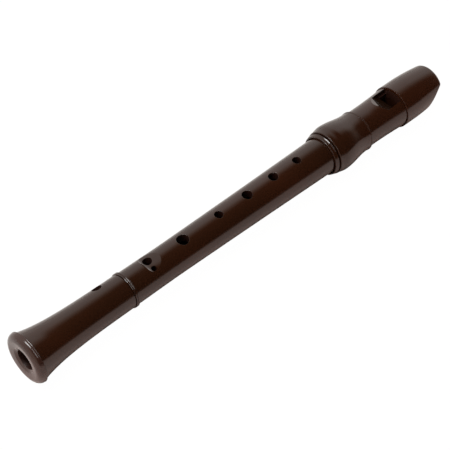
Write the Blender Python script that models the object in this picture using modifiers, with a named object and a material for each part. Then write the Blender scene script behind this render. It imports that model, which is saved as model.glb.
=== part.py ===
# Sopranino recorder in three joints, lying on its side with the finger holes up.
# The axis of the bore runs along +X from the bell to the beak.
# Every piece is turned about its own Z axis, which the joint's empty lays along +X.

import math

import bpy
from mathutils import Matrix

MM = 0.001

# Sides of every turned piece, a multiple of four, so that a flat side lies underneath
SIDES = 32
# Gap between pieces that touch
CLEARANCE = 0.3 * MM

# Lengths along the bore
FOOT_LENGTH = 54.6 * MM
BODY_LENGTH = 117.0 * MM
HEAD_LENGTH = 72.8 * MM
FOOT_TENON_LENGTH = 9.0 * MM
HEAD_TENON_LENGTH = 19.5 * MM

# Bore
BELL_BORE = 4.65 * MM
FOOT_BORE = 3.7 * MM
BODY_BORE_LOW = 3.6 * MM
BODY_BORE_HIGH = 4.8 * MM
HEAD_BORE = 5.0 * MM

# Bell end ring
BELL_RADIUS = 12.0 * MM
BELL_RING_LENGTH = 2.75 * MM
BELL_CREST_RADIUS = 7.5 * MM
BELL_LAND = 1.1 * MM
BELL_SINK_RADIUS = 5.7 * MM
BELL_SINK_LIP = 0.35 * MM
BELL_SINK_DEPTH = 1.6 * MM
BELL_SEAM_RADIUS = 11.3 * MM
BELL_SPIGOT_RADIUS = 6.5 * MM
BELL_SPIGOT_LENGTH = 3.2 * MM

# Foot
FOOT_RADIUS = 7.95 * MM
FLARE_DECAY = 12.2 * MM
FOOT_SPIGOT_RADIUS = 7.2 * MM
FOOT_RING_LENGTH = 1.5 * MM
FOOT_RING_RADIUS = 8.4 * MM
FOOT_TENON_RADIUS = 5.9 * MM

# Body
BODY_RADIUS_LOW = 7.9 * MM
BODY_RADIUS_WAIST = 7.76 * MM
BODY_RADIUS_HIGH = 9.0 * MM
BODY_WAIST_PLACE = 21.0 * MM
BODY_SWELL = 1.25
HEAD_TENON_RADIUS = 7.3 * MM
TENON_GROOVE_WIDTH = 1.2 * MM
TENON_GROOVE_DEPTH = 0.3 * MM
TENON_GROOVE_PITCH = 3.0 * MM

# Head
SOCKET_WALL_RADIUS = 9.0 * MM
BARREL_RING_LENGTH = 1.2 * MM
BARREL_RING_RADIUS = 10.75 * MM
BARREL_LENGTH = 21.9 * MM
BARREL_START_RADIUS = 10.75 * MM
BARREL_RADIUS = 11.6 * MM
BARREL_WAIST_RADIUS = 10.05 * MM
BARREL_LIP_RADIUS = 10.2 * MM
BARREL_LIP_LENGTH = 0.9 * MM
BARREL_SWELL_PLACE = 8.0 * MM
NECK_RADIUS = 9.43 * MM
NECK_TOP_RADIUS = 10.0 * MM
NECK_TAPER_LENGTH = 13.0 * MM
CAP_LENGTH = 25.7 * MM
CAP_RADIUS = 10.7 * MM
CAP_TIP_RADIUS = 10.0 * MM
CAP_TAPER_LENGTH = 14.0 * MM
CAP_SPIGOT_RADIUS = 9.0 * MM
CAP_SPIGOT_LENGTH = 8.0 * MM
BLOCK_RADIUS = 6.6 * MM
WINDWAY_FLOOR = 5.5 * MM
EDGE_ROUND = 0.5 * MM

# Window, cut on the finger hole side
WINDOW_LENGTH = 4.7 * MM
WINDOW_WIDTH = 8.4 * MM
RAMP_LENGTH = 7.4 * MM
RAMP_WIDTH = 10.8 * MM
LABIUM_HEIGHT = 5.8 * MM

# Beak, hollowed on the thumb side by a round cut
BEAK_CUT_RADIUS = 17.8 * MM
BEAK_CUT_SETBACK = 7.0 * MM
BEAK_LIP_HEIGHT = 4.7 * MM

# Holes of the body: distance above its foot end, turn from the top toward +Y, radius
BODY_HOLES = {
    "hole_one": (99.7 * MM, 0.0, 2.05 * MM),
    "hole_two": (85.0 * MM, 0.0, 2.35 * MM),
    "hole_three": (69.0 * MM, 0.0, 2.5 * MM),
    "hole_four": (52.0 * MM, 0.0, 2.05 * MM),
    "hole_five": (31.1 * MM, 0.0, 2.85 * MM),
    "hole_six_large": (12.5 * MM, 10.0, 2.3 * MM),
    "hole_six_small": (12.1 * MM, -25.0, 1.05 * MM),
    "thumb_hole": (108.0 * MM, 180.0, 2.2 * MM),
}
# Hole of the foot: distance above the bell end, turn from the top toward +Y, radius
FOOT_HOLE = (42.6 * MM, 39.0, 2.3 * MM)
# Hollow that the two holes of the sixth finger share
SCOOP_PLACE = 13.5 * MM
SCOOP_RADIUS = 5.9 * MM
SCOOP_DEPTH = 1.7 * MM

# Places along the bore, from the bell end
BODY_START = FOOT_LENGTH + CLEARANCE
HEAD_START = FOOT_LENGTH + BODY_LENGTH + CLEARANCE
LENGTH = HEAD_START + HEAD_LENGTH + CLEARANCE
AXIS_HEIGHT = BELL_RADIUS * math.cos(math.pi / SIDES)

PLASTIC_COLOUR = (0.026, 0.014, 0.009, 1.0)
PLASTIC_ROUGHNESS = 0.16


def clear_scene():
    for item in list(bpy.data.objects):
        bpy.data.objects.remove(item, do_unlink=True)


def make_collection(name):
    collection = bpy.data.collections.new(name)
    bpy.context.scene.collection.children.link(collection)
    return collection


def make_material(name):
    material = bpy.data.materials.new(name)
    material.use_nodes = True
    shader = material.node_tree.nodes["Principled BSDF"]
    shader.inputs["Base Color"].default_value = PLASTIC_COLOUR
    shader.inputs["Roughness"].default_value = PLASTIC_ROUGHNESS
    shader.inputs["Metallic"].default_value = 0.0
    return material


def make_joint(name, place):
    """Empty on the axis of the bore, its Z toward the beak and its X down."""
    empty = bpy.data.objects.new(name, None)
    empty.location = (place - LENGTH / 2, 0.0, AXIS_HEIGHT)
    empty.rotation_euler = (0.0, math.radians(90.0), 0.0)
    empty.empty_display_size = 0.01
    parts.objects.link(empty)
    return empty


def arc(centre, radii, start, end, steps):
    """Points (radius, height) along an ellipse's arc, angles in degrees from the radius."""
    points = []
    for step in range(steps + 1):
        turn = math.radians(start + (end - start) * step / steps)
        points.append((centre[0] + radii[0] * math.cos(turn), centre[1] + radii[1] * math.sin(turn)))
    return points


def turned(name, joint, profile):
    """Closed profile of (radius, height) points, outer side from top to bottom, turned about Z."""
    half_side = math.pi / SIDES
    mesh = bpy.data.meshes.new(name)
    points = []
    for radius, height in profile:
        points.append((radius * math.cos(half_side), radius * math.sin(half_side), height))
    edges = [(index, (index + 1) % len(points)) for index in range(len(points))]
    mesh.from_pydata(points, edges, [])
    piece = bpy.data.objects.new(name, mesh)
    piece.parent = joint
    parts.objects.link(piece)
    screw = piece.modifiers.new("turn", "SCREW")
    screw.steps = SIDES
    screw.render_steps = SIDES
    screw.use_merge_vertices = True
    screw.merge_threshold = 0.00001
    piece.data.materials.append(make_material(name))
    return piece


def cut(piece, cutter):
    boolean = piece.modifiers.new("cut_" + cutter.name, "BOOLEAN")
    boolean.operation = "DIFFERENCE"
    boolean.object = cutter


def keep_cutter(cutter, name, joint, place):
    for collection in list(cutter.users_collection):
        collection.objects.unlink(cutter)
    cutters.objects.link(cutter)
    cutter.name = name
    cutter.parent = joint
    cutter.matrix_basis = place
    cutter.hide_render = True
    cutter.display_type = "WIRE"
    return cutter


def drill(piece, joint, name, height, turn, radius, reach):
    """Round hole from the axis out through one wall; turn 0 is the top, positive toward +Y."""
    bpy.ops.mesh.primitive_cylinder_add(vertices=24, radius=radius, depth=reach)
    # The joint's local X points down, so the top is at minus X
    around = Matrix.Rotation(math.radians(-turn), 4, "Z")
    outward = Matrix.Rotation(math.radians(-90.0), 4, "Y")
    place = Matrix.Translation((0.0, 0.0, height)) @ around @ outward @ Matrix.Translation((0.0, 0.0, reach / 2))
    cut(piece, keep_cutter(bpy.context.object, name, joint, place))


def cut_box(piece, joint, name, height, length, width, low, high):
    """Box cut at the top, from low to high above the axis."""
    bpy.ops.mesh.primitive_cube_add(size=1.0)
    place = Matrix.Translation((-(low + high) / 2, 0.0, height + length / 2))
    box = bpy.context.object
    box.data.transform(Matrix.Diagonal((high - low, width, length, 1.0)))
    cut(piece, keep_cutter(box, name, joint, place))


def cut_across(piece, joint, name, height, above, radius, width):
    """Round cut whose axis lies across the bore, above the axis by the given height."""
    bpy.ops.mesh.primitive_cylinder_add(vertices=64, radius=radius, depth=width)
    place = Matrix.Translation((-above, 0.0, height)) @ Matrix.Rotation(math.radians(90.0), 4, "X")
    cut(piece, keep_cutter(bpy.context.object, name, joint, place))


def flare_radius(height):
    """Outer radius of the foot, easing from the bell to the plain tube."""
    start = BELL_RING_LENGTH + CLEARANCE
    return FOOT_RADIUS + (BELL_SEAM_RADIUS - FOOT_RADIUS) * math.exp(-(height - start) / FLARE_DECAY)


def make_bell_end_ring(joint):
    sink_top = BELL_SINK_DEPTH
    spigot_top = BELL_RING_LENGTH + BELL_SPIGOT_LENGTH
    width = BELL_RADIUS - BELL_CREST_RADIUS
    shoulder = BELL_RING_LENGTH - EDGE_ROUND
    profile = [
        (BELL_BORE, spigot_top),
        (BELL_SPIGOT_RADIUS, spigot_top),
        (BELL_SPIGOT_RADIUS, BELL_RING_LENGTH),
        (BELL_SEAM_RADIUS, BELL_RING_LENGTH),
    ]
    profile += arc((BELL_CREST_RADIUS, shoulder), (width, shoulder), 0.0, -90.0, 7)
    profile += [
        (BELL_CREST_RADIUS - BELL_LAND, 0.0),
        (BELL_SINK_RADIUS, BELL_SINK_LIP),
        (BELL_BORE, sink_top),
    ]
    return turned("bell_end_ring", joint, profile)


def make_foot_bell(joint):
    low = BELL_RING_LENGTH + CLEARANCE
    ring_seat = FOOT_LENGTH - FOOT_RING_LENGTH - CLEARANCE
    top = FOOT_LENGTH - CLEARANCE
    socket_radius = FOOT_TENON_RADIUS + CLEARANCE
    socket_floor = FOOT_LENGTH - FOOT_TENON_LENGTH
    sink_top = BELL_RING_LENGTH + BELL_SPIGOT_LENGTH + CLEARANCE
    profile = [
        (socket_radius, top),
        (FOOT_SPIGOT_RADIUS, top),
        (FOOT_SPIGOT_RADIUS, ring_seat),
    ]
    steps = 9
    for step in range(steps, -1, -1):
        height = low + (ring_seat - low) * (step / steps) ** 1.6
        profile.append((flare_radius(height), height))
    profile += [
        (BELL_SPIGOT_RADIUS + CLEARANCE, low),
        (BELL_SPIGOT_RADIUS + CLEARANCE, sink_top),
        (BELL_BORE, sink_top),
        (FOOT_BORE, socket_floor),
        (socket_radius, socket_floor),
    ]
    foot = turned("foot_bell", joint, profile)
    height, turn, radius = FOOT_HOLE
    drill(foot, joint, "cut_hole_seven", height, turn, radius, BELL_RADIUS)
    return foot


def make_bead(name, joint, low, length, inner, outer):
    """Ring with a rounded outer side."""
    high = low + length
    profile = [(inner, high)]
    profile += arc((outer - EDGE_ROUND, high - EDGE_ROUND), (EDGE_ROUND, EDGE_ROUND), 90.0, 0.0, 3)
    profile += arc((outer - EDGE_ROUND, low + EDGE_ROUND), (EDGE_ROUND, EDGE_ROUND), 0.0, -90.0, 3)
    profile += [(inner, low)]
    return turned(name, joint, profile)


def groove_points(radius, first):
    """Two shallow grooves of a tenon, from the first height down."""
    points = []
    for count in range(2):
        near = first - count * TENON_GROOVE_PITCH
        far = near - TENON_GROOVE_WIDTH
        points += [(radius, near), (radius - TENON_GROOVE_DEPTH, near)]
        points += [(radius - TENON_GROOVE_DEPTH, far), (radius, far)]
    return points


def body_radius(height):
    """Outer radius of the body tube: a slight waist near the foot, then a swelling taper."""
    if height < BODY_WAIST_PLACE:
        share = (BODY_WAIST_PLACE - height) / BODY_WAIST_PLACE
        return BODY_RADIUS_WAIST + (BODY_RADIUS_LOW - BODY_RADIUS_WAIST) * share
    share = (height - BODY_WAIST_PLACE) / (BODY_LENGTH - BODY_WAIST_PLACE)
    return BODY_RADIUS_WAIST + (BODY_RADIUS_HIGH - BODY_RADIUS_WAIST) * share ** BODY_SWELL


def make_body_tube(joint):
    """Heights from the edge of the foot; the tenons reach past both ends."""
    # The tube ends halfway into the barrel ring, where it meets the head tube
    shoulder = BODY_LENGTH + BARREL_RING_LENGTH / 2
    top = shoulder + HEAD_TENON_LENGTH
    low = -FOOT_TENON_LENGTH
    profile = [(BODY_BORE_HIGH, top)]
    profile += [(HEAD_TENON_RADIUS - EDGE_ROUND, top), (HEAD_TENON_RADIUS, top - EDGE_ROUND)]
    profile += groove_points(HEAD_TENON_RADIUS, top - TENON_GROOVE_PITCH)
    profile += [(HEAD_TENON_RADIUS, shoulder)]
    steps = 7
    for step in range(steps, -1, -1):
        height = BODY_WAIST_PLACE + (shoulder - BODY_WAIST_PLACE) * step / steps
        profile.append((body_radius(height), height))
    profile += [(BODY_RADIUS_LOW, 0.0), (FOOT_TENON_RADIUS, 0.0)]
    profile += groove_points(FOOT_TENON_RADIUS, low + 2 * TENON_GROOVE_PITCH)
    profile += [(FOOT_TENON_RADIUS, low + EDGE_ROUND), (FOOT_TENON_RADIUS - EDGE_ROUND, low)]
    profile += [(BODY_BORE_LOW, low)]
    body = turned("body_tube", joint, profile)
    above = body_radius(SCOOP_PLACE) - SCOOP_DEPTH + SCOOP_RADIUS
    cut_across(body, joint, "cut_scoop", SCOOP_PLACE, above, SCOOP_RADIUS, 2 * BELL_RADIUS)
    for name, (height, turn, radius) in BODY_HOLES.items():
        drill(body, joint, "cut_" + name, height, turn, radius, BELL_RADIUS)
    return body


def make_barrel(joint):
    low = BARREL_RING_LENGTH + CLEARANCE
    high = low + BARREL_LENGTH
    waist = high - BARREL_LIP_LENGTH
    swell = low + BARREL_SWELL_PLACE
    inner = SOCKET_WALL_RADIUS + CLEARANCE
    profile = [(inner, high), (BARREL_LIP_RADIUS, high), (BARREL_LIP_RADIUS, waist + BARREL_LIP_LENGTH / 2)]
    steps = 7
    for step in range(steps, -1, -1):
        share = step / steps
        drop = math.cos(math.pi / 2 * share) ** 1.15
        radius = BARREL_WAIST_RADIUS + (BARREL_RADIUS - BARREL_WAIST_RADIUS) * drop
        profile.append((radius, swell + (waist - swell) * share))
    steps = 4
    for step in range(steps - 1, -1, -1):
        share = step / steps
        rise = (1 - math.cos(math.pi * share)) / 2
        radius = BARREL_START_RADIUS + (BARREL_RADIUS - BARREL_START_RADIUS) * rise
        profile.append((radius, low + EDGE_ROUND + (swell - low - EDGE_ROUND) * share))
    profile += [(BARREL_START_RADIUS - EDGE_ROUND, low), (inner, low)]
    return turned("head_barrel", joint, profile)


def make_head_tube(joint):
    """Heights from the edge of the barrel ring; the cap sits past the neck."""
    barrel_top = BARREL_RING_LENGTH + 2 * CLEARANCE + BARREL_LENGTH
    neck_top = HEAD_LENGTH - CAP_LENGTH
    spigot_top = neck_top + CAP_SPIGOT_LENGTH
    low = BARREL_RING_LENGTH / 2 + CLEARANCE
    socket_radius = HEAD_TENON_RADIUS + CLEARANCE
    socket_floor = low + HEAD_TENON_LENGTH
    block_bore = BLOCK_RADIUS + CLEARANCE
    profile = [
        (block_bore, spigot_top),
        (CAP_SPIGOT_RADIUS, spigot_top),
        (CAP_SPIGOT_RADIUS, neck_top),
        (NECK_TOP_RADIUS, neck_top),
        (NECK_RADIUS, neck_top - NECK_TAPER_LENGTH),
        (NECK_RADIUS, barrel_top),
        (SOCKET_WALL_RADIUS, barrel_top),
        (SOCKET_WALL_RADIUS, low),
        (socket_radius, low),
        (socket_radius, socket_floor),
        (HEAD_BORE, socket_floor),
        (HEAD_BORE, neck_top),
        (block_bore, neck_top),
    ]
    head = turned("head_tube", joint, profile)
    labium = neck_top - WINDOW_LENGTH
    # The window's side walls meet the bore where the bore is as wide as the window
    window_floor = math.sqrt(HEAD_BORE ** 2 - (WINDOW_WIDTH / 2) ** 2)
    cut_box(head, joint, "cut_window", labium, WINDOW_LENGTH, WINDOW_WIDTH, window_floor, BELL_RADIUS)
    cut_box(head, joint, "cut_window_sides", labium, WINDOW_LENGTH, RAMP_WIDTH, LABIUM_HEIGHT, BELL_RADIUS)
    cut_ramp(head, joint, labium)
    return head


def cut_ramp(head, joint, labium):
    """Sloping cut from the neck's surface down to the labium edge."""
    start = labium - RAMP_LENGTH
    top = NECK_RADIUS + (NECK_TOP_RADIUS - NECK_RADIUS) * (
        1 - (HEAD_LENGTH - CAP_LENGTH - start) / NECK_TAPER_LENGTH)
    slope = math.atan2(top - LABIUM_HEIGHT, RAMP_LENGTH)
    run = RAMP_LENGTH / math.cos(slope)
    bpy.ops.mesh.primitive_cube_add(size=1.0)
    box = bpy.context.object
    # The box's lower face is the ramp; it starts before the surface and ends at the labium
    box.data.transform(Matrix.Diagonal((BELL_RADIUS, RAMP_WIDTH, 2 * run, 1.0)))
    box.data.transform(Matrix.Translation((-BELL_RADIUS / 2, 0.0, -run)))
    turn = Matrix.Rotation(slope, 4, "Y")
    place = Matrix.Translation((-LABIUM_HEIGHT, 0.0, labium)) @ turn
    cut(head, keep_cutter(box, "cut_ramp", joint, place))


def cut_beak(piece, joint, name):
    """Round hollow under the beak, from the tip's lip down to the cap's lower side."""
    reach = math.sqrt(BEAK_CUT_RADIUS ** 2 - BEAK_CUT_SETBACK ** 2)
    height = HEAD_LENGTH + CLEARANCE + BEAK_CUT_SETBACK
    cut_across(piece, joint, name, height, BEAK_LIP_HEIGHT - reach, BEAK_CUT_RADIUS, 4 * BELL_RADIUS)


def make_mouthpiece_cap(joint):
    low = HEAD_LENGTH - CAP_LENGTH + CLEARANCE
    high = HEAD_LENGTH + CLEARANCE
    counterbore = HEAD_LENGTH - CAP_LENGTH + CAP_SPIGOT_LENGTH + CLEARANCE
    block_bore = BLOCK_RADIUS + CLEARANCE
    spigot_bore = CAP_SPIGOT_RADIUS + CLEARANCE
    profile = [(block_bore, high)]
    corner = (CAP_TIP_RADIUS - EDGE_ROUND, high - EDGE_ROUND)
    profile += arc(corner, (EDGE_ROUND, EDGE_ROUND), 90.0, 0.0, 3)
    steps = 4
    for step in range(1, steps + 1):
        share = step / steps
        radius = CAP_RADIUS - (CAP_RADIUS - CAP_TIP_RADIUS) * (1 - share) ** 1.8
        profile.append((radius, high - EDGE_ROUND - (CAP_TAPER_LENGTH - EDGE_ROUND) * share))
    profile += [
        (CAP_RADIUS, low + EDGE_ROUND / 2),
        (CAP_RADIUS - EDGE_ROUND / 2, low),
        (spigot_bore, low),
        (spigot_bore, counterbore),
        (block_bore, counterbore),
    ]
    cap = turned("mouthpiece_cap", joint, profile)
    cut_beak(cap, joint, "cut_beak_cap")
    return cap


def make_windway_block(joint):
    low = HEAD_LENGTH - CAP_LENGTH + CLEARANCE
    high = HEAD_LENGTH + CLEARANCE
    bpy.ops.mesh.primitive_cylinder_add(vertices=SIDES, radius=BLOCK_RADIUS, depth=high - low)
    block = bpy.context.object
    for collection in list(block.users_collection):
        collection.objects.unlink(block)
    parts.objects.link(block)
    block.name = "windway_block"
    block.data.materials.append(make_material("windway_block"))
    block.data.transform(Matrix.Rotation(math.pi / SIDES, 4, "Z"))
    block.parent = joint
    block.location = (0.0, 0.0, (low + high) / 2)
    margin = BLOCK_RADIUS
    length = high - low + 2 * margin
    cut_box(block, joint, "cut_windway_floor", low - margin, length, 3 * BLOCK_RADIUS, WINDWAY_FLOOR, BELL_RADIUS)
    cut_beak(block, joint, "cut_beak_block")
    return block


clear_scene()
parts = make_collection("sopranino_recorder")
cutters = make_collection("cutters")

foot_joint = make_joint("foot_joint", 0.0)
body_joint = make_joint("body_joint", BODY_START)
head_joint = make_joint("head_joint", HEAD_START)

make_bell_end_ring(foot_joint)
make_foot_bell(foot_joint)
foot_ring_low = FOOT_LENGTH - FOOT_RING_LENGTH
make_bead("foot_ring", foot_joint, foot_ring_low, FOOT_RING_LENGTH,
          FOOT_SPIGOT_RADIUS + CLEARANCE, FOOT_RING_RADIUS)

make_body_tube(body_joint)

make_bead("barrel_ring", head_joint, 0.0, BARREL_RING_LENGTH,
          SOCKET_WALL_RADIUS + CLEARANCE, BARREL_RING_RADIUS)
make_barrel(head_joint)
make_head_tube(head_joint)
make_mouthpiece_cap(head_joint)
make_windway_block(head_joint)

bpy.context.view_layer.update()
for piece in parts.objects:
    if piece.type == "MESH":
        piece.data.shade_smooth()
        piece.data.set_sharp_from_angle(angle=math.radians(30.0))
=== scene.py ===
import math

import bmesh
import bpy
from mathutils import Matrix, Vector


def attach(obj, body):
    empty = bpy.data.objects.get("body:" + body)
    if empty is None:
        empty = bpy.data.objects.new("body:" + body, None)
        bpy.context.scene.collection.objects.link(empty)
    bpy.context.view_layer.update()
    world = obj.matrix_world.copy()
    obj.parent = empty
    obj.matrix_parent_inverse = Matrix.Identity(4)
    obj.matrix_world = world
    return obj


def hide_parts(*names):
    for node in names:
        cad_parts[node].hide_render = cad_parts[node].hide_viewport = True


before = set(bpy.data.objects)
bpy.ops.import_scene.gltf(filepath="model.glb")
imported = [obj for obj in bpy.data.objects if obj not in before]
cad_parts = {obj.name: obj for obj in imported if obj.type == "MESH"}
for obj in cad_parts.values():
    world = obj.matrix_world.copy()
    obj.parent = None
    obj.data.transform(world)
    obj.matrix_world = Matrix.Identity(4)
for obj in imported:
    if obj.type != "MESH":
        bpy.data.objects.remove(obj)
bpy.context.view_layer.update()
print("frame loaded,", len(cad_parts), "nodes")

mm = 0.001

# Sizes of the pieces are millimetres: places run along the bore from the bell's end face, radii are
# from the bore's axis. Corners are (place, radius, softness)
instrument = dict(
    length=245.0,
    axisHeight=11.942,
    sides=192,           # faces round every turned piece
    cornerSteps=4,       # points in each softened corner
    cornerShare=0.48,    # the most that a corner takes of the sides beside it
    smoothAngle=35.0,
    onSurface=0.05,      # faces this near the turned outside belong to it
    facing=0.9985,       # and their normals follow it this closely
    slopeStep=0.05,
    flatSides=9,         # faces with more sides than this are flat cuts
)


# The camera stands on the bell's side, above the player's left
camera = dict(place=(-0.286555, -0.274645, 0.454042), turn=(41.1593, -1.5589, -43.261), lens=107.6649,
              clip=(0.01, 50.0))


def makeCamera():
    data = bpy.data.cameras.new("camera")
    data.lens = camera["lens"]
    data.sensor_width = 36.0
    data.clip_start, data.clip_end = camera["clip"]
    eye = bpy.data.objects.new("camera", data)
    eye.location = camera["place"]
    eye.rotation_euler = [math.radians(turn) for turn in camera["turn"]]
    bpy.context.scene.collection.objects.link(eye)
    bpy.context.scene.camera = eye


makeCamera()
print("camera placed")


# White studio: a dark wall on the player's left is what the gloss shows as the long dark band
studio = dict(
    diffuseGain=1.3,              # how much more the surroundings light the plastic than they show in it
    wallLight=0.015,              # brightness of the dark wall
    wallFoot=(6.0, 2.0),          # its lower edge above the horizon, degrees, at the foot and the head
    wallEdge=0.8,                 # softness of that edge, degrees
    wallTop=(94.0, 75.0, 56.0),   # its upper edge, falling in two steps towards the head
    nearHead=(0.53, 0.6),         # where each step starts and ends, as a share of straight along the bore
    farHead=(0.743, 0.848),
    nearBell=(0.12, 0.24),        # towards the bell it is lower again
    bellTop=70.0,
    skirtLight=0.17,              # brightness under the wall
    skyLight=0.86,                # brightness of the far side
    skySpread=44.0,               # degrees over which it comes up above the wall
    warmth=(1.0, 0.84, 0.71),     # tint of the dimmer surroundings
    bellLight=0.72,               # brightness in front of the bell
    bellward=(-0.8, -0.5),
    headLight=1.9,                # brightness beyond the mouthpiece
    headward=(0.8, 0.88),
    headDiffuse=0.2,              # how much of it lights the plastic
    softboxPlace=(-0.3, 0.16, 0.87),
    softboxSize=(0.16, 0.52),
    softboxPower=4.2,
    stripPlace=(-0.25, -0.47, 0.75),  # the strip only shows in the gloss
    stripSize=(0.1, 0.62),
    stripPower=1.0,
    paper=(0.98, 0.82, 0.78),     # warm bounce on the player's left, the camera itself sees white
    paperAway=(0.95, 0.94, 0.93),
    paperEdge=(-0.03, 0.01),      # where the warm bounce starts and ends, metres to the player's left
    paperShadeFar=0.95,                # painted fall-off of light: how much darker the paper is away from the instrument
    # where that painted fall-off of light starts and ends, metres to the player's left
    paperShadeFade=(0.02, 0.17),
    paperGlow=1.03,               # brightness that the camera sees
    floorReach=6.0,
    floorShadow=0.04,             # share of the floor that takes shadow
)
white = (1.0, 1.0, 1.0, 1.0)


def link(tree, start, end):
    tree.links.new(start, end)


def plug(tree, socket, value):
    # Another node's output is linked, anything else is the socket's own value
    if isinstance(value, bpy.types.NodeSocket):
        link(tree, value, socket)
    else:
        socket.default_value = value


def mathNode(tree, operation, first, second):
    node = tree.nodes.new("ShaderNodeMath")
    node.operation = operation
    plug(tree, node.inputs[0], first)
    plug(tree, node.inputs[1], second)
    return node.outputs[0]


def rampNode(tree, value, low, high, start=0.0, end=1.0):
    node = tree.nodes.new("ShaderNodeMapRange")
    node.interpolation_type = "SMOOTHSTEP"
    settings = {"Value": value, "From Min": low, "From Max": high, "To Min": start, "To Max": end}
    for name, setting in settings.items():
        plug(tree, node.inputs[name], setting)
    return node.outputs[0]


def colourMix(tree, share, first, second):
    node = tree.nodes.new("ShaderNodeMix")
    node.data_type = "RGBA"
    plug(tree, node.inputs["Factor"], share)
    plug(tree, node.inputs[6], first)
    plug(tree, node.inputs[7], second)
    return node.outputs[2]


def blended(tree, share, first, second):
    rest = mathNode(tree, "SUBTRACT", 1.0, share)
    start, end = mathNode(tree, "MULTIPLY", rest, first), mathNode(tree, "MULTIPLY", share, second)
    return mathNode(tree, "ADD", start, end)


def eased(tree, value, share, change):
    return mathNode(tree, "ADD", value, mathNode(tree, "MULTIPLY", share, change))


def makeWorld():
    world = bpy.data.worlds.new("studio")
    bpy.context.scene.world = world
    world.use_nodes = True
    tree = world.node_tree
    tree.nodes.clear()
    direction = tree.nodes.new("ShaderNodeTexCoord").outputs["Generated"]
    split = tree.nodes.new("ShaderNodeSeparateXYZ")
    link(tree, direction, split.inputs[0])
    along, across, up = split.outputs
    # Angle above the horizon on the player's left, in the plane across the bore
    height = mathNode(tree, "ARCTAN2", up, mathNode(tree, "MULTIPLY", across, -1.0))
    near = rampNode(tree, along, *studio["nearHead"])
    far = rampNode(tree, along, *studio["farHead"])
    nearBell = rampNode(tree, along, *studio["nearBell"], 1.0, 0.0)
    high, middle, low = [math.radians(value) for value in studio["wallTop"]]
    top = eased(tree, high, near, middle - high)
    top = eased(tree, top, far, low - middle)
    top = eased(tree, top, nearBell, math.radians(studio["bellTop"]) - high)
    skyEnd = mathNode(tree, "ADD", top, math.radians(studio["skySpread"]))
    sky = rampNode(tree, height, top, skyEnd, studio["wallLight"], studio["skyLight"])
    start, end = [math.radians(value) for value in studio["wallFoot"]]
    foot = eased(tree, start, near, end - start)
    edge = math.radians(studio["wallEdge"])
    below, above = mathNode(tree, "SUBTRACT", foot, edge), mathNode(tree, "ADD", foot, edge)
    skirt = rampNode(tree, height, below, above, studio["skirtLight"], 0.0)
    shown = mathNode(tree, "ADD", sky, skirt)
    inside = rampNode(tree, along, *studio["bellward"])
    shown = blended(tree, inside, studio["bellLight"], shown)
    rays = tree.nodes.new("ShaderNodeLightPath")
    diffuse = rays.outputs["Is Diffuse Ray"]
    gain = blended(tree, diffuse, 1.0, studio["diffuseGain"])
    shown = mathNode(tree, "MULTIPLY", shown, gain)
    beyond = rampNode(tree, along, *studio["headward"])
    beyond = mathNode(tree, "MULTIPLY", beyond, blended(tree, diffuse, 1.0, studio["headDiffuse"]))
    shown = blended(tree, beyond, shown, studio["headLight"])
    seen = rays.outputs["Is Camera Ray"]
    shown = mathNode(tree, "MULTIPLY", shown, mathNode(tree, "SUBTRACT", 1.0, seen))
    strength = mathNode(tree, "ADD", shown, seen)
    # Bright sky is neutral, and so is what the camera itself sees
    neutral = mathNode(tree, "MAXIMUM", seen, mathNode(tree, "MULTIPLY", sky, sky))
    background = tree.nodes.new("ShaderNodeBackground")
    link(tree, colourMix(tree, neutral, (*studio["warmth"], 1.0), white), background.inputs["Color"])
    link(tree, strength, background.inputs["Strength"])
    output = tree.nodes.new("ShaderNodeOutputWorld")
    link(tree, background.outputs[0], output.inputs["Surface"])


def makeLamp(name, place, size, power, onlyGloss=False):
    data = bpy.data.lights.new(name, "AREA")
    data.shape = "RECTANGLE"
    data.size, data.size_y = size
    data.energy = power
    lamp = bpy.data.objects.new(name, data)
    lamp.location = place
    lamp.rotation_euler = (-math.atan2(place[1], place[2]), 0.0, 0.0)
    lamp.visible_diffuse = not onlyGloss
    bpy.context.scene.collection.objects.link(lamp)


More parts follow.
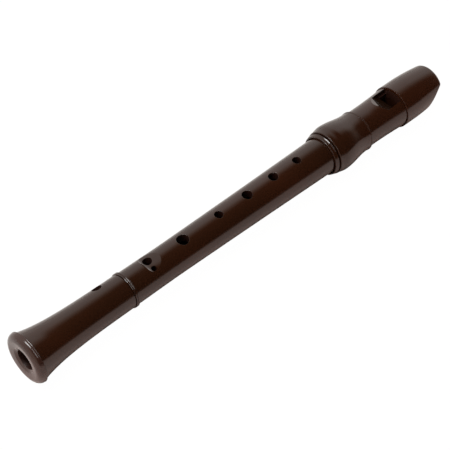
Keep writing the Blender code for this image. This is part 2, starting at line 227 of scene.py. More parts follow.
def makeFloor():
    bm = bmesh.new()
    bmesh.ops.create_grid(bm, x_segments=1, y_segments=1, size=studio["floorReach"])
    mesh = bpy.data.meshes.new("floor")
    bm.to_mesh(mesh)
    bm.free()
    floor = bpy.data.objects.new("floor", mesh)
    bpy.context.scene.collection.objects.link(floor)
    material = bpy.data.materials.new("paperFloor")
    material.use_nodes = True
    tree = material.node_tree
    tree.nodes.clear()
    paper = tree.nodes.new("ShaderNodeBsdfDiffuse")
    split = tree.nodes.new("ShaderNodeSeparateXYZ")
    link(tree, tree.nodes.new("ShaderNodeTexCoord").outputs["Object"], split.inputs[0])
    left = mathNode(tree, "MULTIPLY", split.outputs[1], -1.0)
    tone = colourMix(tree, rampNode(tree, left, *studio["paperEdge"]), (*studio["paperAway"], 1.0),
                     (*studio["paper"], 1.0))
    # The paper darkens away from the instrument: painted fall-off of light, which the gloss and the bounce
    # light see
    fade = tree.nodes.new("ShaderNodeVectorMath")
    fade.operation = "SCALE"
    link(tree, tone, fade.inputs[0])
    link(tree, rampNode(tree, left, *studio["paperShadeFade"], 1.0, studio["paperShadeFar"]), fade.inputs["Scale"])
    link(tree, fade.outputs[0], paper.inputs["Color"])
    glow = tree.nodes.new("ShaderNodeEmission")
    glow.inputs["Color"].default_value = white
    glow.inputs["Strength"].default_value = studio["paperGlow"]
    rays = tree.nodes.new("ShaderNodeLightPath")
    share = mathNode(tree, "MULTIPLY", rays.outputs["Is Camera Ray"], 1.0 - studio["floorShadow"])
    lit = tree.nodes.new("ShaderNodeMixShader")
    link(tree, share, lit.inputs[0])
    link(tree, paper.outputs[0], lit.inputs[1])
    link(tree, glow.outputs[0], lit.inputs[2])
    # Seen from below, the sheet lets the view through
    clear = tree.nodes.new("ShaderNodeBsdfTransparent")
    under = tree.nodes.new("ShaderNodeMixShader")
    link(tree, tree.nodes.new("ShaderNodeNewGeometry").outputs["Backfacing"], under.inputs[0])
    link(tree, lit.outputs[0], under.inputs[1])
    link(tree, clear.outputs[0], under.inputs[2])
    output = tree.nodes.new("ShaderNodeOutputMaterial")
    link(tree, under.outputs[0], output.inputs["Surface"])
    mesh.materials.append(material)


makeWorld()
makeLamp("softbox", studio["softboxPlace"], studio["softboxSize"], studio["softboxPower"])
makeLamp("strip", studio["stripPlace"], studio["stripSize"], studio["stripPower"], True)
makeFloor()
bpy.context.scene.view_settings.view_transform = "Standard"
print("studio lit")


# Shared effects of the moulded plastic
def newGroup(name, inputs, outputs):
    group = bpy.data.node_groups.new(name, "ShaderNodeTree")
    for kind, label, value in inputs:
        socket = group.interface.new_socket(label, in_out="INPUT", socket_type="NodeSocket" + kind)
        if value is not None:
            socket.default_value = value
    for kind, label in outputs:
        group.interface.new_socket(label, in_out="OUTPUT", socket_type="NodeSocket" + kind)
    return group, group.nodes.new("NodeGroupInput"), group.nodes.new("NodeGroupOutput")


# Noise of each effect: its stretch along and across the bore, and the values between which it fades in
effects = dict(
    flow=dict(stretch=(0.45, 1.0, 1.0), detail=3.0, roughness=0.55, distortion=0.6, fade=(0.36, 0.7)),
    smear=dict(scale=95.0, detail=4.0, roughness=0.6, distortion=1.2, fade=(0.45, 0.75)),
    marks=dict(stretch=(1.0, 0.02, 0.02), scale=9000.0, detail=1.0, roughness=0.5),
    specks=dict(scale=2600.0, detail=1.0, roughness=0.4, fade=(0.74, 0.8)),
    scratch=dict(stretch=(0.05, 1.0, 0.8), scale=2400.0, detail=0.0, roughness=0.4, distortion=0.3,
                 fade=(0.72, 0.78)),
)
markHeight = 0.25
scratchDepth = 0.5


def effectNoise(tree, vector, name, scale=None):
    effect = effects[name]
    if "stretch" in effect:
        mapping = tree.nodes.new("ShaderNodeMapping")
        link(tree, vector, mapping.inputs["Vector"])
        mapping.inputs["Scale"].default_value = effect["stretch"]
        vector = mapping.outputs[0]
    noise = tree.nodes.new("ShaderNodeTexNoise")
    settings = {"Vector": vector, "Scale": scale or effect["scale"], "Detail": effect["detail"],
                "Roughness": effect["roughness"], "Distortion": effect.get("distortion", 0.0)}
    for label, setting in settings.items():
        plug(tree, noise.inputs[label], setting)
    value = noise.outputs["Fac"]
    return rampNode(tree, value, *effect["fade"]) if "fade" in effect else value


def makePigmentGroup():
    # Uneven pigment: deep brown with warmer flow marks
    group, inputs, outputs = newGroup("pigment", [
        ("Vector", "Vector", None), ("Color", "Deep", None), ("Color", "Warm", None),
        ("Float", "Flow", 22.0), ("Float", "Amount", 0.6)], [("Color", "Color")])
    flow = effectNoise(group, inputs.outputs["Vector"], "flow", inputs.outputs["Flow"])
    share = mathNode(group, "MULTIPLY", flow, inputs.outputs["Amount"])
    mixed = colourMix(group, share, inputs.outputs["Deep"], inputs.outputs["Warm"])
    link(group, mixed, outputs.inputs["Color"])
    return group


def makeGlossGroup():
    # Gloss that handling has dulled a little: smears, fine turning marks and dust
    group, inputs, outputs = newGroup("handling", [
        ("Vector", "Vector", None), ("Float", "Base", 0.12), ("Float", "Smears", 0.06),
        ("Float", "Marks", 0.03), ("Float", "Dust", 0.2)],
        [("Float", "Roughness"), ("Float", "Dust"), ("Float", "Height")])
    vector = inputs.outputs["Vector"]
    smear = mathNode(group, "MULTIPLY", effectNoise(group, vector, "smear"), inputs.outputs["Smears"])
    marks = effectNoise(group, vector, "marks")
    dust = mathNode(group, "MULTIPLY", effectNoise(group, vector, "specks"), inputs.outputs["Dust"])
    rough = mathNode(group, "ADD", inputs.outputs["Base"], smear)
    rough = mathNode(group, "ADD", rough, mathNode(group, "MULTIPLY", marks, inputs.outputs["Marks"]))
    link(group, mathNode(group, "ADD", rough, dust), outputs.inputs["Roughness"])
    link(group, dust, outputs.inputs["Dust"])
    scratch = mathNode(group, "MULTIPLY", effectNoise(group, vector, "scratch"), scratchDepth)
    height = mathNode(group, "SUBTRACT", mathNode(group, "MULTIPLY", marks, markHeight), scratch)
    link(group, height, outputs.inputs["Height"])
    return group


pigmentGroup = makePigmentGroup()
glossGroup = makeGlossGroup()


def groupNode(tree, group, place, settings):
    node = tree.nodes.new("ShaderNodeGroup")
    node.node_tree = group
    link(tree, place, node.inputs["Vector"])
    for label, value in settings.items():
        node.inputs[label].default_value = value
    return node


def makePlastic(name, look):
    material = bpy.data.materials.new(name)
    material.use_nodes = True
    tree = material.node_tree
    shader = tree.nodes["Principled BSDF"]
    place = tree.nodes.new("ShaderNodeTexCoord").outputs["Object"]
    pigment = groupNode(tree, pigmentGroup, place, {
        "Deep": (*look["deep"], 1.0), "Warm": (*look["warm"], 1.0), "Flow": look["flow"],
        "Amount": look["flowAmount"]})
    gloss = groupNode(tree, glossGroup, place, {
        "Base": look["roughness"], "Smears": look["smears"], "Marks": look["marks"], "Dust": look["dust"]})
    dusty = colourMix(tree, gloss.outputs["Dust"], pigment.outputs["Color"], (*look["dustColour"], 1.0))
    link(tree, dusty, shader.inputs["Base Color"])
    link(tree, gloss.outputs["Roughness"], shader.inputs["Roughness"])
    bump = tree.nodes.new("ShaderNodeBump")
    bump.inputs["Strength"].default_value = look["relief"]
    bump.inputs["Distance"].default_value = look["reliefDepth"]
    link(tree, gloss.outputs["Height"], bump.inputs["Height"])
    link(tree, bump.outputs[0], shader.inputs["Normal"])
    shader.inputs["Metallic"].default_value = 0.0
    shader.inputs["IOR"].default_value = look["ior"]
    shader.inputs["Coat Weight"].default_value = look["coat"]
    shader.inputs["Coat Roughness"].default_value = look["coatRoughness"]
    shader.inputs["Coat IOR"].default_value = look["ior"]
    return material


glossyBrown = dict(deep=(0.027, 0.0092, 0.0038), warm=(0.045, 0.0125, 0.005), flow=24.0, flowAmount=0.75,
                   roughness=0.12, smears=0.05, marks=0.03, dust=0.12, dustColour=(0.2, 0.18, 0.17),
                   relief=0.25, reliefDepth=0.00002, coat=0.08, coatRoughness=0.045, ior=1.5)
# The bell's end ring takes a lighter, pinker copy of the same brown: painted light on its end face, which
# faces the bright surroundings in front of the bell
litBellBrown = dict(glossyBrown, deep=(0.043, 0.0185, 0.0135), warm=(0.058, 0.022, 0.015), roughness=0.15)
boreBrown = dict(glossyBrown, deep=(0.026, 0.0095, 0.0065), warm=(0.034, 0.0115, 0.0075), roughness=0.34,
                 coat=0.0, relief=0.4)
tenonBrown = dict(glossyBrown, roughness=0.26, coat=0.15, marks=0.08, relief=0.5)
blockBrown = dict(glossyBrown, deep=(0.018, 0.0062, 0.0028), roughness=0.28, coat=0.0, marks=0.06)
# The ramp inside the window takes a darker copy of the brown: painted shade in the window's recess
shadedRampBrown = dict(glossyBrown, deep=(0.012, 0.0052, 0.0022), warm=(0.018, 0.0068, 0.0028))

materials = {
    "plastic": makePlastic("glossyBrown", glossyBrown),
    "bell": makePlastic("litBellBrown", litBellBrown),
    "bore": makePlastic("boreBrown", boreBrown),
    "tenon": makePlastic("tenonBrown", tenonBrown),
    "block": makePlastic("blockBrown", blockBrown),
    "ramp": makePlastic("shadedRampBrown", shadedRampBrown),
}
print("plastics mixed")


def axisPoint(place, radius=0.0):
    return Vector(((place - instrument["length"] / 2) * mm, 0.0, (instrument["axisHeight"] + radius) * mm))


def softened(corners):
    # Closed outline from corners of (place, radius, softness)
    outline = []
    for index, (place, radius, softness) in enumerate(corners):
        corner = Vector((place, radius))
        if softness <= 0.0:
            outline.append(corner)
            continue
        before = Vector(corners[index - 1][:2]) - corner
        after = Vector(corners[(index + 1) % len(corners)][:2]) - corner
        half = before.angle(after) / 2
        most, steps = instrument["cornerShare"], instrument["cornerSteps"]
        reach = min(softness / math.tan(half), before.length * most, after.length * most)
        inward = (before.normalized() + after.normalized()).normalized()
        centre = corner + inward * (reach / math.cos(half))
        start = (corner + before.normalized() * reach - centre).normalized()
        end = (corner + after.normalized() * reach - centre).normalized()
        for step in range(steps + 1):
            outline.append(centre + start.slerp(end, step / steps) * reach * math.tan(half))
    return outline


def curve(start, end, steps, radiusAt):
    # Corners without softness along a curved side
    points = []
    for step in range(steps + 1):
        place = start + (end - start) * step / steps
        points.append((place, radiusAt(place), 0.0))
    return points


def turnedMesh(outline, closed=True):
    bm = bmesh.new()
    verts = [bm.verts.new(axisPoint(place, radius)) for place, radius in outline]
    edges = [bm.edges.new(pair) for pair in zip(verts, verts[1:])]
    if closed:
        edges.append(bm.edges.new((verts[-1], verts[0])))
    bmesh.ops.spin(bm, geom=verts + edges, cent=axisPoint(0.0), axis=(1, 0, 0), angle=math.tau,
                   steps=instrument["sides"], use_merge=True)
    bmesh.ops.remove_doubles(bm, verts=bm.verts, dist=1e-7)
    bmesh.ops.recalc_face_normals(bm, faces=bm.faces)
    return bm


def radiusOf(co):
    return math.hypot(co.y, co.z - instrument["axisHeight"] * mm) / mm


def placeOf(co):
    return co.x / mm + instrument["length"] / 2


def evenGloss(mesh, radiusAt):
    # The turned outside keeps its exact normals, so that the gloss runs evenly past the holes
    normals = [(0.0, 0.0, 0.0)] * len(mesh.loops)

    def exact(co):
        place, step = placeOf(co), instrument["slopeStep"]
        slope = (radiusAt(place + step) - radiusAt(place - step)) / (2 * step)
        outward = Vector((0.0, co.y, co.z - instrument["axisHeight"] * mm)).normalized()
        return (outward - Vector((slope, 0.0, 0.0))).normalized()

    for face in mesh.polygons:
        away = abs(radiusOf(face.center) - radiusAt(placeOf(face.center)))
        if away > instrument["onSurface"] or face.normal.dot(exact(face.center)) < instrument["facing"]:
            if len(face.vertices) > instrument["flatSides"]:
                # Flat cuts keep theirs too
                for loop in face.loop_indices:
                    normals[loop] = face.normal
            continue
        for loop in face.loop_indices:
            normals[loop] = exact(mesh.vertices[mesh.loops[loop].vertex_index].co)
    mesh.normals_split_custom_set(normals)


def finishPiece(name, bm, body, node, skins=("plastic",), skinOf=None):
    mesh = bpy.data.meshes.new(name)
    bm.to_mesh(mesh)
    bm.free()
    piece = bpy.data.objects.new(name, mesh)
    bpy.context.scene.collection.objects.link(piece)
    for skin in skins:
        mesh.materials.append(materials[skin])
    paint(mesh, skinOf)
    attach(piece, body)
    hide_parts(node)
    return piece


def paint(mesh, skinOf):
    if skinOf:
        for face in mesh.polygons:
            face.material_index = skinOf(placeOf(face.center), radiusOf(face.center))
    mesh.shade_smooth()
    mesh.set_sharp_from_angle(angle=math.radians(instrument["smoothAngle"]))


def cutAway(piece, cutters, skinOf, radiusAt):
    # Booleans applied at once, so that no cutter stays in the file
    for cutter in cutters:
        modifier = piece.modifiers.new("cut", "BOOLEAN")
        modifier.operation = "DIFFERENCE"
        modifier.solver = "EXACT"
        modifier.object = cutter
    bpy.context.view_layer.update()
    cut = bpy.data.meshes.new_from_object(piece.evaluated_get(bpy.context.evaluated_depsgraph_get()))
    piece.modifiers.clear()
    old = piece.data
    name = old.name
    piece.data = cut
    bpy.data.meshes.remove(old)
    cut.name = name
    for cutter in cutters:
        used = cutter.data
        bpy.data.objects.remove(cutter)
        bpy.data.meshes.remove(used)
    paint(cut, skinOf)
    evenGloss(cut, radiusAt)


def cutterFrom(bm, turn=0.0, place=0.0):
    # A cutter is made about its own axis: X along the bore, Z outward from the axis
    around = Matrix.Rotation(math.radians(-turn), 4, "X")
    matrix = Matrix.Translation(axisPoint(place)) @ around @ Matrix.Scale(mm, 4)
    bmesh.ops.transform(bm, matrix=matrix, verts=bm.verts)
    bmesh.ops.recalc_face_normals(bm, faces=bm.faces)
    mesh = bpy.data.meshes.new("cutter")
    bm.to_mesh(mesh)
    bm.free()
    cutter = bpy.data.objects.new("cutter", mesh)
    bpy.context.scene.collection.objects.link(cutter)
    return cutter


def ringStack(rings, segments, shape=None):
    # Closed solid of rings, each a share of the shape and a height function of (x, y)
    bm = bmesh.new()
    bmesh.ops.create_circle(bm, cap_ends=False, segments=segments, radius=1.0)
    verts, edges = bm.verts[:], bm.edges[:]
    size = 1.0
    for index, (share, heightAt) in enumerate(rings):
        if index:
            made = bmesh.ops.extrude_edge_only(bm, edges=edges)["geom"]
            verts = [item for item in made if isinstance(item, bmesh.types.BMVert)]
            fresh = set(verts)
            edges = [item for item in made
                     if isinstance(item, bmesh.types.BMEdge) and fresh.issuperset(item.verts)]
        for vert in verts:
            if index == 0 and shape:
                reach = shape(math.atan2(vert.co.y, vert.co.x))
                vert.co.x, vert.co.y = vert.co.x * reach, vert.co.y * reach
            vert.co.x, vert.co.y = vert.co.x * share / size, vert.co.y * share / size
            vert.co.z = heightAt(vert.co.x, vert.co.y)
        size = share
    bmesh.ops.edgeloop_fill(bm, edges=[edge for edge in bm.edges if edge.is_boundary])
    return bm


# Softened rim of a hole: the lip's own radius is the measure of start, outside and overrun
holeRim = dict(inner=1.0, start=1.6, turned=84.0, steps=5, outside=1.1, overrun=0.12, above=3.0,
               segments=56)


def holeCutter(hole, surfaceAt):
    # Round hole with a softened rim that follows the curved outside
    place, turn, radius, lip = hole["place"], hole["turn"], hole["radius"], hole["lip"]
    rim = holeRim

    def follow(drop):
        return lambda x, y: math.sqrt(max(surfaceAt(place + x) ** 2 - y * y, 1.0)) + drop

    rings = [(radius, lambda x, y: rim["inner"]), (radius, follow(-lip * rim["start"]))]
    for step in range(rim["steps"] + 1):
        turned = math.radians(rim["turned"]) * step / rim["steps"]
        rings.append((radius + lip * (1 - math.cos(turned)), follow(lip * (math.sin(turned) - 1.0))))
    for drop in (lip * rim["overrun"], rim["above"]):
        rings.append((radius + lip * rim["outside"], follow(drop)))
    return cutterFrom(ringStack(rings, rim["segments"]), turn, place)


def prism(outline, halfWidth, turn=0.0):
    # Block with the given side outline of (place, height), across the bore
    bm = bmesh.new()
    verts = [bm.verts.new((place, -halfWidth, height)) for place, height in outline]
    face = bm.faces.new(verts)
    made = bmesh.ops.extrude_face_region(bm, geom=[face])["geom"]
    moved = [item for item in made if isinstance(item, bmesh.types.BMVert)]
    bmesh.ops.translate(bm, vec=(0.0, 2 * halfWidth, 0.0), verts=moved)
    return cutterFrom(bm, turn)


# Bell end ring: convex face, countersunk mouth, spigot into the foot
bellRing = dict(bore=4.65, sinkRadius=6.1, sinkLip=0.32, sinkDepth=1.1, crest=8.7, radius=11.93,
                length=3.45, shoulder=3.05, squareness=2.1, faceSteps=24, rimRise=0.1, rimEnd=3.24,
                seamRadius=11.45, seamStart=0.1, seamRise=0.15, seamDrop=0.05, spigotRadius=6.5,
                spigotLength=2.5, skinEdge=0.02)


def makeBellRing():
    ring = bellRing
    corners = [
        (ring["sinkDepth"], ring["bore"], 0.15),
        (ring["sinkLip"], ring["sinkRadius"], 0.35),
    ]
    width, depth = ring["radius"] - ring["rimRise"] - ring["crest"], ring["shoulder"]
    power = 2 / ring["squareness"]
    for step in range(ring["faceSteps"] + 1):
        turned = math.pi / 2 * step / ring["faceSteps"]
        fall, rise = max(math.cos(turned), 0.0) ** power, math.sin(turned) ** power
        corners.append((depth - depth * fall, ring["crest"] + width * rise, 0.0))
    corners += [
        (ring["rimEnd"], ring["radius"], 0.12),
        (ring["length"] - ring["seamStart"], ring["seamRadius"] + ring["seamRise"], 0.1),
        (ring["length"], ring["seamRadius"] - ring["seamDrop"], 0.06),
        (ring["length"], ring["spigotRadius"], 0.1),
        (ring["length"] + ring["spigotLength"], ring["spigotRadius"], 0.2),
        (ring["length"] + ring["spigotLength"], ring["bore"], 0.1),
    ]

    # The ring's outside takes the lighter bell brown, painted light on the end face
    def skin(place, radius):
        behind = place > ring["length"] - ring["skinEdge"]
        return 1 if behind or radius < ring["bore"] + ring["skinEdge"] else 0

    finishPiece("bellEndRing", turnedMesh(softened(corners)), "foot", "bell_end_ring",
                ("bell", "bore"), skin)


# Foot: flared outside, hole for the little finger, socket for the body's tenon
footBell = dict(start=3.57, flareStart=3.05, end=54.3, radius=7.95, mouth=11.42, decay=12.0,
                bore=(4.65, 3.7), seat=7.2, seatStart=53.0, socketRadius=6.2, socketFloor=45.6,
                spigotRadius=6.8, spigotFloor=6.25, curveSteps=72, skinDepth=0.45)
footHole = dict(place=42.6, turn=39.0, radius=2.3, lip=0.13)


def footRadius(place):
    foot = footBell
    flare = math.exp((foot["flareStart"] - place) / foot["decay"])
    return foot["radius"] + (foot["mouth"] - foot["radius"]) * flare


def makeFootBell():
    foot = footBell
    corners = [(foot["start"], footRadius(foot["start"]) - 0.02, 0.04)]
    corners += curve(foot["start"] + 0.4, foot["seatStart"] - 0.4, foot["curveSteps"], footRadius)
    corners += [
        (foot["seatStart"], footRadius(foot["seatStart"]), 0.15),
        (foot["seatStart"], foot["seat"], 0.05),
        (foot["end"], foot["seat"], 0.2),
        (foot["end"], foot["socketRadius"], 0.3),
        (foot["socketFloor"], foot["socketRadius"], 0.2),
        (foot["socketFloor"], foot["bore"][1], 0.15),
        (foot["spigotFloor"], foot["bore"][0], 0.1),
        (foot["spigotFloor"], foot["spigotRadius"], 0.1),
        (foot["start"], foot["spigotRadius"], 0.1),
    ]

    def skin(place, radius):
        outside = radius > footRadius(place) - foot["skinDepth"]
        return 0 if outside and place < foot["seatStart"] + 0.05 else 1

    piece = finishPiece("footBell", turnedMesh(softened(corners)), "foot", "foot_bell",
                        ("plastic", "bore"), skin)
    cutAway(piece, [holeCutter(footHole, footRadius)], skin, footRadius)


# Beads at the joints. The foot's has two ridges, each with a short slope at the foot's side
footBead = dict(start=53.15, end=54.6, inner=7.25, outer=8.42, gap=0.12, run=0.22, slope=0.3, groove=0.3,
                soft=0.05)
# The barrel's has a low front shoulder, then its top rises: before its end, below its top, softness
barrelBead = dict(start=170.95, end=172.85, inner=9.3, outer=10.5, frontDrop=0.52, frontSoft=0.3,
                  top=((0.6, 0.28, 0.12), (0.5, 0.22, 0.0), (0.24, 0.08, 0.0), (0.1, 0.0, 0.08)))


def ridges(bead):
    middle = (bead["start"] + bead["end"]) / 2
    width = (bead["end"] - bead["start"]) / 2 - bead["gap"]
    outer, soft = bead["outer"], bead["soft"]
    corners = []
    for start in (bead["start"], middle + bead["gap"]):
        corners += [(start, outer - bead["slope"] * bead["run"], soft), (start + bead["run"], outer, soft),
                    (start + width, outer, soft)]
        if start < middle:
            corners.append((middle, outer - bead["groove"], soft))
    return corners


def shoulder(bead):
    corners = [(bead["start"], bead["outer"] - bead["frontDrop"], bead["frontSoft"])]
    for before, below, soft in bead["top"]:
        corners.append((bead["end"] - before, bead["outer"] - below, soft))
    return corners


def makeBead(name, bead, top, body, node):
    corners = [(bead["start"], bead["inner"], 0.1), *top(bead), (bead["end"], bead["inner"], 0.1)]
    finishPiece(name, turnedMesh(softened(corners)), body, node)


# Body: tube with six finger places, a thumb hole and a grooved tenon at each end
bodyTube = dict(start=54.72, shoulder=172.45, low=7.9, waist=7.76, waistPlace=75.9, high=9.0, swell=1.25,
                curveSteps=118, footTenon=5.9, footTenonEnd=45.9, footGrooves=1.8, headTenon=7.3,
                headTenonEnd=191.95, headGrooves=7.2, bore=(3.6, 4.8), tenonSkin=5.5, skinDepth=0.4)
grease = dict(pitch=3.0, width=1.2, depth=0.3, soft=0.08)
bodyHoles = [
    dict(place=154.6, turn=0.0, radius=2.05, lip=0.12),
    dict(place=139.9, turn=0.0, radius=2.35, lip=0.12),
    dict(place=123.9, turn=0.0, radius=2.5, lip=0.12),
    dict(place=106.9, turn=0.0, radius=2.05, lip=0.12),
    dict(place=85.95, turn=0.0, radius=2.85, lip=0.13),
    dict(place=162.9, turn=180.0, radius=2.2, lip=0.12),
]
# The double hole goes straight through the scoop's floor, with next to no lip
scoopHoles = [
    dict(place=67.3, turn=14.0, radius=2.15, lip=0.0001),
    dict(place=67.0, turn=-26.0, radius=1.3, lip=0.0001),
]
scoop = dict(place=66.6, turn=5.0, footward=2.8, headward=6.4, halfWidth=5.3, depth=1.2, steep=(1.1, 2.4),
             steps=24, rim=((1.03, 0.1), (1.05, 2.0)), segments=96, holeTop=6.6, skin=(63.5, 73.5),
             skinAbove=6.0)


def bodyRadius(place):
    tube = bodyTube
    if place < tube["waistPlace"]:
        share = (tube["waistPlace"] - place) / (tube["waistPlace"] - tube["start"])
        return tube["waist"] + (tube["low"] - tube["waist"]) * share
    share = (place - tube["waistPlace"]) / (tube["shoulder"] - tube["waistPlace"])
    return tube["waist"] + (tube["high"] - tube["waist"]) * min(share, 1.0) ** tube["swell"]


def scoopFloor(x, y, share):
    # Hollow that is gentle towards the head and steep at the foot's side
    surface = math.sqrt(bodyRadius(scoop["place"] + x) ** 2 - y * y)
    gentle, steep = scoop["steep"]
    footward = (1 - math.cos(math.atan2(y, x))) / 2
    return surface - scoop["depth"] * (1.0 - share ** (gentle + (steep - gentle) * footward))


def scoopShape(turn):
    reach = scoop["headward"] if math.cos(turn) > 0 else scoop["footward"]
    return 1.0 / math.hypot(math.cos(turn) / reach, math.sin(turn) / scoop["halfWidth"])


def makeScoopCutter():
    rings = []
    for step in range(1, scoop["steps"] + 1):
        share = step / scoop["steps"]
        rings.append((share, lambda x, y, share=share: scoopFloor(x, y, share)))
    for share, rise in scoop["rim"]:
        rings.append((share, lambda x, y, rise=rise: scoopFloor(x, y, 1.0) + rise))
    return cutterFrom(ringStack(rings, scoop["segments"], scoopShape), scoop["turn"], scoop["place"])


def grooves(radius, first):
    # Two grease grooves of a tenon
    corners = []
    for count in range(2):
        near = first + grease["pitch"] * count
        far = near + grease["width"]
        floor, soft = radius - grease["depth"], grease["soft"]
        corners += [(near, radius, soft), (near, floor, soft), (far, floor, soft), (far, radius, soft)]
    return corners


def makeBodyTube():
    tube = bodyTube
    corners = [
        (tube["start"], tube["footTenon"], 0.08),
        (tube["start"], tube["low"] - 0.02, 0.15),
    ]
    corners += curve(tube["start"] + 0.5, tube["shoulder"] - 0.5, tube["curveSteps"], bodyRadius)
    corners += [
        (tube["shoulder"], tube["high"] - 0.02, 0.15),
        (tube["shoulder"], tube["headTenon"], 0.08),
    ]
    corners += grooves(tube["headTenon"], tube["headTenonEnd"] - tube["headGrooves"])
    corners += [
        (tube["headTenonEnd"], tube["headTenon"], 0.5),
        (tube["headTenonEnd"], tube["bore"][1], 0.3),
        (tube["footTenonEnd"], tube["bore"][0], 0.3),
        (tube["footTenonEnd"], tube["footTenon"], 0.5),
    ]
    corners += grooves(tube["footTenon"], tube["footTenonEnd"] + tube["footGrooves"])

    def skin(place, radius):
        if place < tube["start"] - 0.02 or place > tube["shoulder"] + 0.02:
            return 2 if radius > tube["tenonSkin"] else 1
        scooped = scoop["skin"][0] < place < scoop["skin"][1] and radius > scoop["skinAbove"]
        return 0 if radius > bodyRadius(place) - tube["skinDepth"] or scooped else 1

    piece = finishPiece("bodyTube", turnedMesh(softened(corners)), "body", "body_tube",
                        ("plastic", "bore", "tenon"), skin)
    cutters = [makeScoopCutter()]
    cutters += [holeCutter(hole, bodyRadius) for hole in bodyHoles]
    cutters += [holeCutter(hole, lambda place: scoop["holeTop"]) for hole in scoopHoles]
    cutAway(piece, cutters, skin, bodyRadius)


# Head: barrel over the socket, then the neck with the window, then the cap
headBarrel = dict(start=173.7, end=195.25, startRadius=10.85, radius=11.62, waistRadius=9.98,
                  lipRadius=10.2, lipLength=0.7, swellPlace=178.8, waistPlace=193.6, inner=9.1,
                  curveSteps=48)


def barrelRadius(place):
    barrel = headBarrel
    if place < barrel["swellPlace"]:
        share = (barrel["swellPlace"] - place) / (barrel["swellPlace"] - barrel["start"])
        rise = (1 + math.cos(math.pi * share)) / 2
        return barrel["startRadius"] + (barrel["radius"] - barrel["startRadius"]) * rise
    share = min((place - barrel["swellPlace"]) / (barrel["waistPlace"] - barrel["swellPlace"]), 1.0)
    drop = (1 + math.cos(math.pi * share)) / 2
    return barrel["waistRadius"] + (barrel["radius"] - barrel["waistRadius"]) * drop


def makeHeadBarrel():
    barrel = headBarrel
    corners = [
        (barrel["start"], barrel["inner"], 0.1),
        (barrel["start"], barrel["startRadius"], 0.4),
    ]
    corners += curve(barrel["start"] + 0.9, barrel["end"] - barrel["lipLength"], barrel["curveSteps"],
                     barrelRadius)
    corners += [
        (barrel["end"] - barrel["lipLength"] + 0.06, barrel["lipRadius"] - 0.08, 0.05),
        (barrel["end"] - 0.12, barrel["lipRadius"], 0.1),
        (barrel["end"], barrel["lipRadius"] - 0.1, 0.06),
        (barrel["end"], barrel["inner"], 0.1),
    ]
    finishPiece("headBarrel", turnedMesh(softened(corners)), "head", "head_barrel")


headTube = dict(start=172.8, neck=195.35, neckEnd=219.15, radius=9.45, topRadius=10.1, taperStart=201.0,
                taperPower=1.6, curveSteps=40, wall=9.0, spigotEnd=227.2, socket=7.6, socketFloor=192.3,
                bore=5.0, blockBore=6.88)
window = dict(labium=214.5, end=219.15, halfWidth=4.2, sideHalfWidth=5.4, rampStart=207.1, rampBefore=2.0,
              labiumHeight=5.8, edge=0.12, floor=2.71, slotTop=7.0, above=13.0, undercut=4.0,
              underFloor=4.2, underTop=4.95, overlap=0.01, facetStart=206.4, facetEnd=210.3,
              facetSlope=0.3, facetTurn=5.0, facetMargin=1.0, skinFrom=5.75, skinDepth=0.6, skinEdge=0.2)


def neckRadius(place):
    tube = headTube
    share = max(0.0, (place - tube["taperStart"]) / (tube["neckEnd"] - tube["taperStart"]))
    return tube["radius"] + (tube["topRadius"] - tube["radius"]) * share ** tube["taperPower"]


def windowCutters():
    hole = window
    labium, end, above, side = hole["labium"], hole["end"], hole["above"], hole["sideHalfWidth"]
    top = neckRadius(hole["rampStart"])
    slope = (top - hole["labiumHeight"]) / (labium - hole["rampStart"])
    early = hole["rampStart"] - hole["rampBefore"]
    ramp = [(early, top + hole["rampBefore"] * slope), (labium, hole["labiumHeight"]),
            (end, hole["labiumHeight"]), (end, above), (early, above)]
    slot = [(labium, hole["floor"]), (end, hole["floor"]), (end, hole["slotTop"]),
            (labium, hole["slotTop"])]
    # The labium is thinned from below to its edge
    thin, past = hole["labiumHeight"] - hole["edge"], labium + hole["overlap"]
    under = [(labium - hole["undercut"], hole["underFloor"]), (past, hole["underFloor"]), (past, thin),
             (labium - hole["undercut"], hole["underTop"])]
    # A shallow facet eases the far corner of the ramp
    drop = hole["facetSlope"] * (hole["facetEnd"] - hole["facetStart"])
    facet = [(hole["facetStart"], top), (hole["facetEnd"], top - drop), (hole["facetEnd"], above),
             (hole["facetStart"], above)]
    return [prism(ramp, side), prism(slot, hole["halfWidth"]), prism(under, hole["halfWidth"]),
            prism(facet, side + hole["facetMargin"], hole["facetTurn"])]


def makeHeadTube():
    tube = headTube
    corners = [
        (tube["start"], tube["socket"], 0.25),
        (tube["start"], tube["wall"], 0.1),
        (tube["neck"], tube["wall"], 0.05),
        (tube["neck"], tube["radius"], 0.05),
    ]
    corners += curve(tube["neck"] + 0.2, tube["neckEnd"] - 0.4, tube["curveSteps"], neckRadius)
    corners += [
        (tube["neckEnd"], tube["topRadius"], 0.15),
        (tube["neckEnd"], tube["wall"], 0.05),
        (tube["spigotEnd"], tube["wall"], 0.2),
        (tube["spigotEnd"], tube["blockBore"], 0.1),
        (tube["neckEnd"] + 0.05, tube["blockBore"], 0.05),
        (tube["neckEnd"] + 0.05, tube["bore"], 0.05),
        (tube["socketFloor"], tube["bore"], 0.1),
        (tube["socketFloor"], tube["socket"], 0.1),
    ]

    # Faces on the ramp inside the window take the darker brown, painted shade of the recess
    def skin(place, radius):
        onRamp = tube["neck"] < place < window["labium"] - window["skinEdge"]
        if onRamp and window["skinFrom"] < radius < neckRadius(place) - window["skinDepth"]:
            return 2
        return 0 if radius > tube["wall"] + 0.02 else 1

    piece = finishPiece("headTube", turnedMesh(softened(corners)), "head", "head_tube",
                        ("plastic", "bore", "ramp"), skin)
    cutAway(piece, windowCutters(), skin, neckRadius)


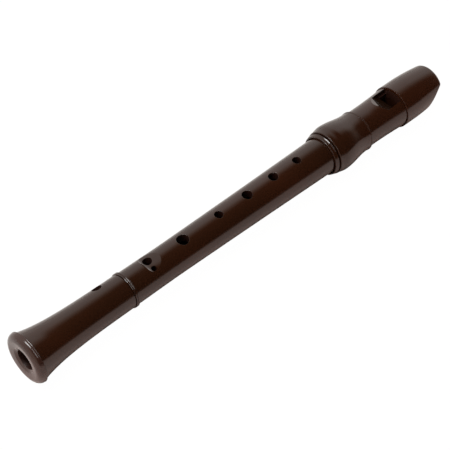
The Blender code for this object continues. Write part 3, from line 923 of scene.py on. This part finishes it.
# Mouthpiece: the cap is hollowed underneath, and its end face keeps a lip above the windway block
mouthCap = dict(start=219.3, end=245.0, radius=10.7, tipRadius=9.4, taperLength=18.0, taperPower=1.8,
                curveSteps=60, spigotBore=9.05, counterbore=227.4, bore=6.9, faceStart=1.6, faceStep=0.28,
                faceRings=5)
beak = dict(cutRadius=17.8, centrePlace=252.0, centreHeight=-11.666, lip=4.7, soft=0.5, reach=13.5,
            lines=(-1.2, -0.7, -0.35, 0.0, 0.35, 0.8), rounds=4, outsideFrom=7.6, outsideFade=1.2)
windwayBlock = dict(start=219.3, end=245.0, radius=6.84, top=5.5, edge=0.15, firstRing=0.3, ringStep=0.5,
                    rings=50, faceStep=0.6, faceRings=10)


def capRadius(place):
    cap = mouthCap
    share = min((cap["end"] - place) / cap["taperLength"], 1.0)
    return cap["radius"] - (cap["radius"] - cap["tipRadius"]) * (1 - share) ** cap["taperPower"]


def beakPlace(height):
    # Where the round cut reaches this height, eased into the end face
    rise = min(height - beak["centreHeight"], beak["cutRadius"])
    back = math.sqrt(max(beak["cutRadius"] ** 2 - rise * rise, 0.0))
    deep = mouthCap["end"] - (beak["centrePlace"] - back)
    return mouthCap["end"] - (deep + math.hypot(deep, beak["soft"])) / 2


def lineAt(bm, height, clearAbove=False):
    # Level line round the piece at this height in metres
    everything = bm.verts[:] + bm.edges[:] + bm.faces[:]
    return bmesh.ops.bisect_plane(bm, geom=everything, plane_co=(0.0, 0.0, height), plane_no=(0, 0, 1),
                                  dist=1e-8, clear_outer=clearAbove)


def shapeBeak(bm, outside):
    # Lines across at the lip's height first, then the end is slid back onto the cut
    for rise in beak["lines"]:
        lineAt(bm, (instrument["axisHeight"] + beak["lip"] + rise) * mm)
    start = mouthCap["end"] - beak["reach"]
    for vert in bm.verts:
        place, radius = placeOf(vert.co), radiusOf(vert.co)
        if place <= start:
            continue
        slide = (place - start) / beak["reach"]
        rise = (vert.co.z / mm - instrument["axisHeight"]) / max(radius, 1e-6)
        newPlace, newRadius = place, radius
        for attempt in range(beak["rounds"]):
            newPlace = place - (mouthCap["end"] - beakPlace(newRadius * rise)) * slide
            if outside:
                share = min(max((radius - beak["outsideFrom"]) / beak["outsideFade"], 0.0), 1.0)
                newRadius = radius + (capRadius(newPlace) - capRadius(place)) * share
        vert.co.x = (newPlace - instrument["length"] / 2) * mm
        if radius > 1e-6:
            vert.co.y *= newRadius / radius
            vert.co.z = (instrument["axisHeight"] + rise * newRadius) * mm


def makeMouthCap():
    cap = mouthCap
    corners = [(cap["start"], cap["spigotBore"], 0.05), (cap["start"], cap["radius"], 0.12)]
    corners += curve(cap["start"] + 0.5, cap["end"] - 0.9, cap["curveSteps"], capRadius)
    corners += [(cap["end"], capRadius(cap["end"]), 0.75)]
    for step in range(cap["faceRings"]):
        corners.append((cap["end"], cap["bore"] + cap["faceStart"] - cap["faceStep"] * step, 0.0))
    corners += [
        (cap["end"], cap["bore"], 0.2),
        (cap["counterbore"], cap["bore"], 0.1),
        (cap["counterbore"], cap["spigotBore"], 0.1),
    ]
    bm = turnedMesh(softened(corners))
    shapeBeak(bm, True)
    bmesh.ops.recalc_face_normals(bm, faces=bm.faces)

    def skin(place, radius):
        return 1 if radius < cap["bore"] + 0.03 and place < cap["end"] - 0.3 else 0

    finishPiece("mouthpieceCap", bm, "head", "mouthpiece_cap", ("plastic", "bore"), skin)


def makeWindwayBlock():
    block = windwayBlock
    start, end, radius, edge = block["start"], block["end"], block["radius"], block["edge"]
    outline = [Vector((start, 0.0)), Vector((start, radius - edge)), Vector((start + edge, radius))]
    outline += [Vector((start + block["firstRing"] + block["ringStep"] * step, radius))
                for step in range(block["rings"])]
    outline += [Vector((end - edge, radius)), Vector((end, radius - edge))]
    outline += [Vector((end, radius - block["faceStep"] * step))
                for step in range(1, block["faceRings"] + 1)]
    outline.append(Vector((end, 0.0)))
    bm = turnedMesh(outline, False)
    cut = lineAt(bm, (instrument["axisHeight"] + block["top"]) * mm, True)
    rim = [item for item in cut["geom_cut"] if isinstance(item, bmesh.types.BMEdge)]
    bmesh.ops.edgeloop_fill(bm, edges=rim)
    shapeBeak(bm, False)
    bmesh.ops.recalc_face_normals(bm, faces=bm.faces)
    finishPiece("windwayBlock", bm, "head", "windway_block", ("block",))


makeBellRing()
makeFootBell()
makeBead("footRing", footBead, ridges, "foot", "foot_ring")
print("foot made")
makeBodyTube()
print("body made")
makeBead("barrelRing", barrelBead, shoulder, "head", "barrel_ring")
makeHeadBarrel()
makeHeadTube()
makeMouthCap()
makeWindwayBlock()
print("head made")
